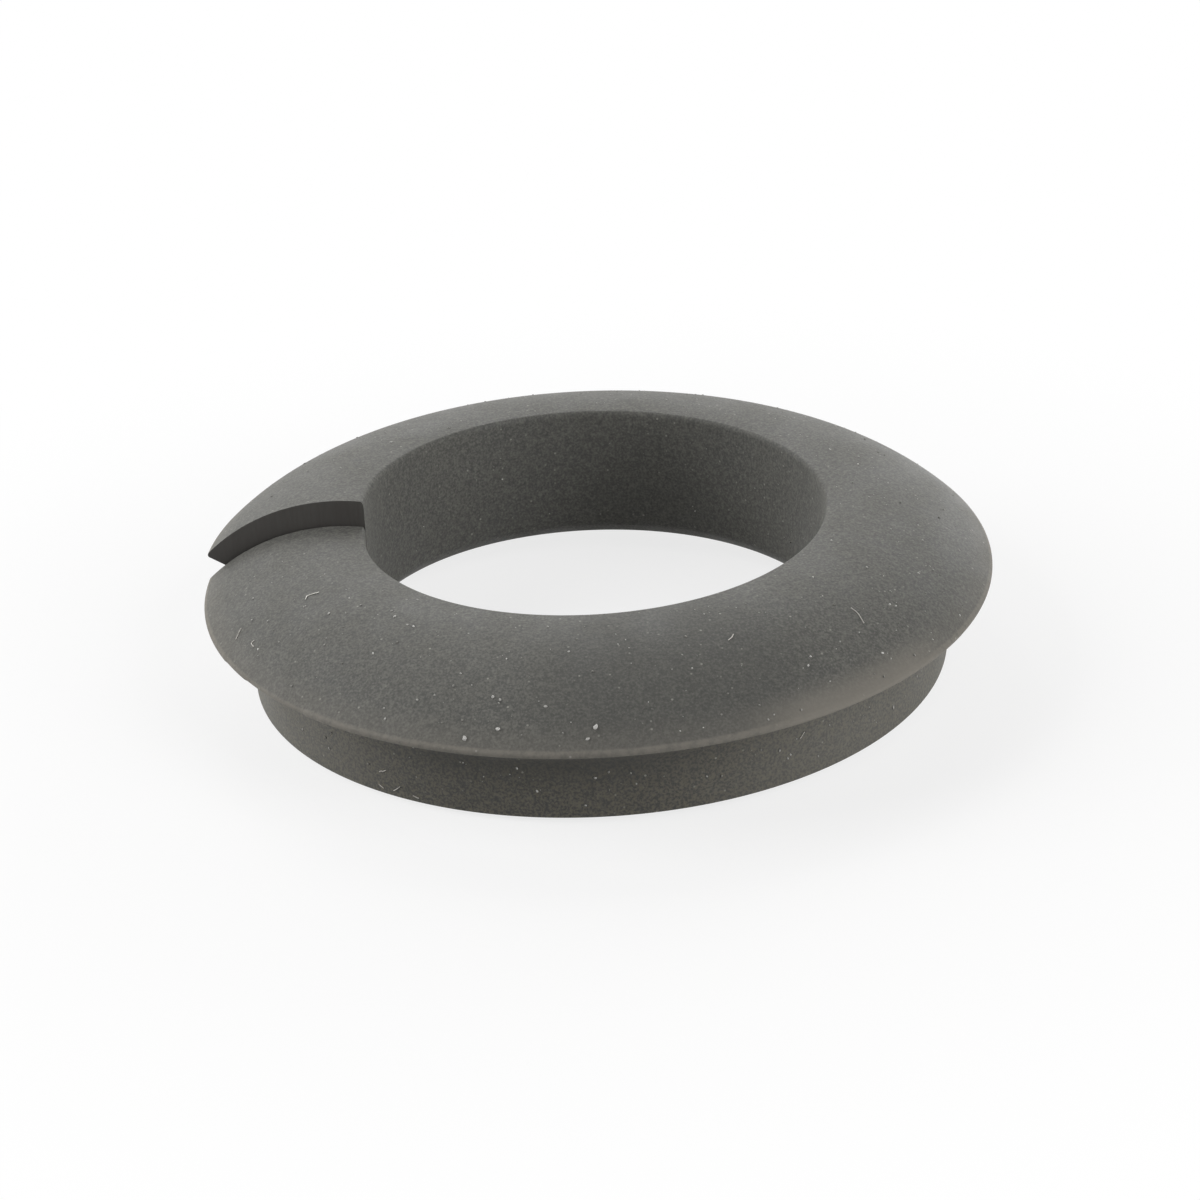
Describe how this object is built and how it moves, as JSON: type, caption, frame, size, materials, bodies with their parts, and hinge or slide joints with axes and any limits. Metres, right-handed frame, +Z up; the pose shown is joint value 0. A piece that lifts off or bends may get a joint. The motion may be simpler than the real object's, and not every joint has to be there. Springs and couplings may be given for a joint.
{
  "type": "rubber bumper",
  "caption": "Split rubber bumper ring with a domed top, a straight bore and a thin lip over a set-back base, which presses onto a post and cushions what meets it.",
  "frame": {"origin": "on the bore's axis, level with the lowest point of the base", "axes": "+Z up along the bore towards the domed top, -X through the cut where it crosses the top of the dome"},
  "size_m": [0.036, 0.036, 0.008],
  "materials": {
    "rubber": "matte, dark grey"
  },
  "bodies": {
    "root": {"bumper_ring": "rubber"}
  },
  "joints": []
}
